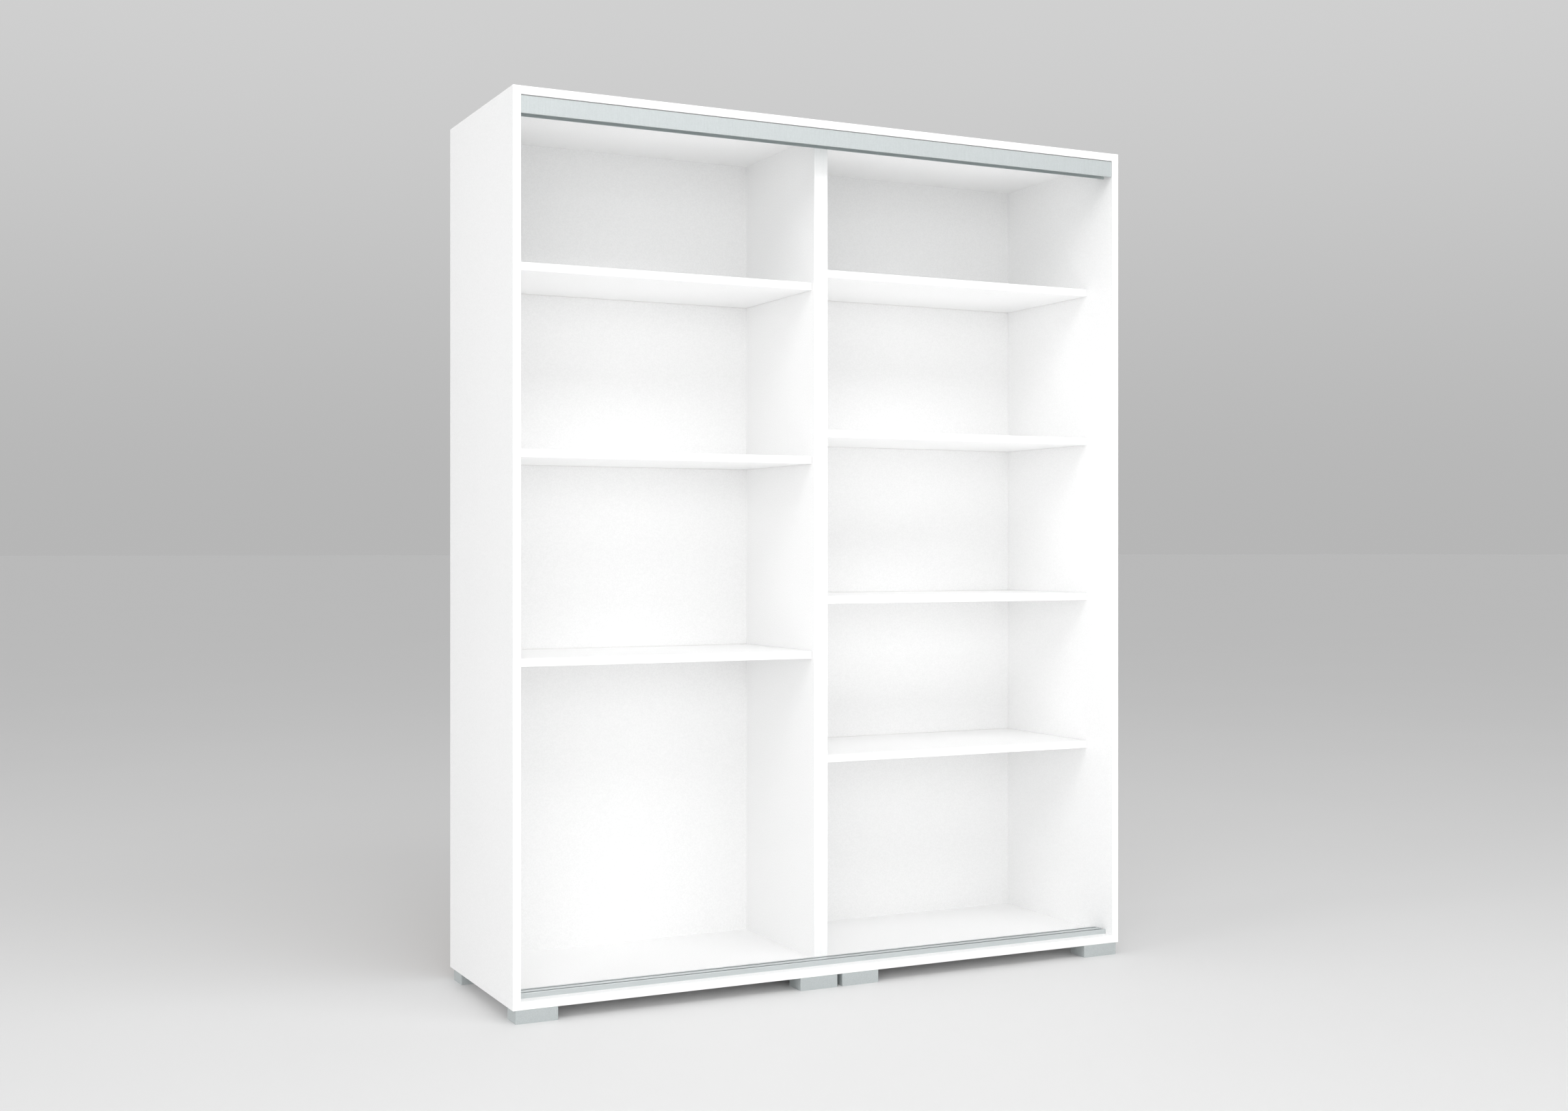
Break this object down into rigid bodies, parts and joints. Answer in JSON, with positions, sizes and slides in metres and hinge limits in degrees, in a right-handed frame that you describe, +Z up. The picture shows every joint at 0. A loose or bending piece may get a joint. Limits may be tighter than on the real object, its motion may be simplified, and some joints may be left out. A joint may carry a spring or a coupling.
{
  "type": "sliding door wardrobe carcass",
  "caption": "Tall white open wardrobe carcass with a central divider, shelves in both halves, silver rails for sliding doors along the top and bottom, and block feet.",
  "frame": {"origin": "on the floor, under the middle of the wardrobe's box", "axes": "+X to the right seen from the front, +Y from the front to the back, +Z up"},
  "size_m": [1.6, 0.483, 2.03],
  "materials": {
    "white_board": "satin white melamine on chipboard",
    "white_edge_band": "satin white plastic band",
    "white_back": "lacquered white hardboard",
    "silver_rail": "satin anodised",
    "silver_foot": "silver-grey moulded plastic",
    "plated_steel": "zinc plated",
    "zinc_cam": "bright die casting",
    "beech_dowel": "plain beech"
  },
  "bodies": {
    "carcass": {"side_panel_left": "white_board", "side_panel_right": "white_board", "top_panel": "white_board", "bottom_panel": "white_board", "divider_panel_left": "white_board", "divider_panel_right": "white_board", "side_edge_band_left": "white_edge_band", "side_edge_band_right": "white_edge_band", "top_edge_band": "white_edge_band", "bottom_edge_band": "white_edge_band", "divider_edge_band_left": "white_edge_band", "divider_edge_band_right": "white_edge_band", "back_panel_left": "white_back", "back_panel_right": "white_back", "top_fascia": "silver_rail", "top_guide_rail": "silver_rail", "bottom_track": "silver_rail", "foot_front_left": "silver_foot", "foot_front_centre_left": "silver_foot", "foot_front_centre_right": "silver_foot", "foot_front_right": "silver_foot", "foot_rear_left": "silver_foot", "foot_rear_centre_left": "silver_foot", "foot_rear_centre_right": "silver_foot", "foot_rear_right": "silver_foot", "left_shelf_wires": "plated_steel", "right_shelf_wires": "plated_steel", "cam_bolts": "plated_steel", "divider_screws": "plated_steel", "divider_joining_screws": "plated_steel", "fascia_screws": "plated_steel", "guide_rail_screws": "plated_steel", "track_screws": "plated_steel", "foot_screws": "plated_steel", "back_panel_nails": "plated_steel", "cam_locks": "zinc_cam", "dowels": "beech_dowel"},
    "left_shelf_1": {"left_shelf_1": "white_board", "left_shelf_1_edge_band": "white_edge_band"},
    "left_shelf_2": {"left_shelf_2": "white_board", "left_shelf_2_edge_band": "white_edge_band"},
    "left_shelf_3": {"left_shelf_3": "white_board", "left_shelf_3_edge_band": "white_edge_band"},
    "right_shelf_1": {"right_shelf_1": "white_board", "right_shelf_1_edge_band": "white_edge_band"},
    "right_shelf_2": {"right_shelf_2": "white_board", "right_shelf_2_edge_band": "white_edge_band"},
    "right_shelf_3": {"right_shelf_3": "white_board", "right_shelf_3_edge_band": "white_edge_band"},
    "right_shelf_4": {"right_shelf_4": "white_board", "right_shelf_4_edge_band": "white_edge_band"}
  },
  "joints": [
    {"name": "left_shelf_1_draw_out", "type": "slide", "parent": "carcass", "child": "left_shelf_1", "axis": [0, -1, 0], "range_m": [0, 0.49]},
    {"name": "left_shelf_2_draw_out", "type": "slide", "parent": "carcass", "child": "left_shelf_2", "axis": [0, -1, 0], "range_m": [0, 0.49]},
    {"name": "left_shelf_3_draw_out", "type": "slide", "parent": "carcass", "child": "left_shelf_3", "axis": [0, -1, 0], "range_m": [0, 0.49]},
    {"name": "right_shelf_1_draw_out", "type": "slide", "parent": "carcass", "child": "right_shelf_1", "axis": [0, -1, 0], "range_m": [0, 0.49]},
    {"name": "right_shelf_2_draw_out", "type": "slide", "parent": "carcass", "child": "right_shelf_2", "axis": [0, -1, 0], "range_m": [0, 0.49]},
    {"name": "right_shelf_3_draw_out", "type": "slide", "parent": "carcass", "child": "right_shelf_3", "axis": [0, -1, 0], "range_m": [0, 0.49]},
    {"name": "right_shelf_4_draw_out", "type": "slide", "parent": "carcass", "child": "right_shelf_4", "axis": [0, -1, 0], "range_m": [0, 0.49]}
  ]
}
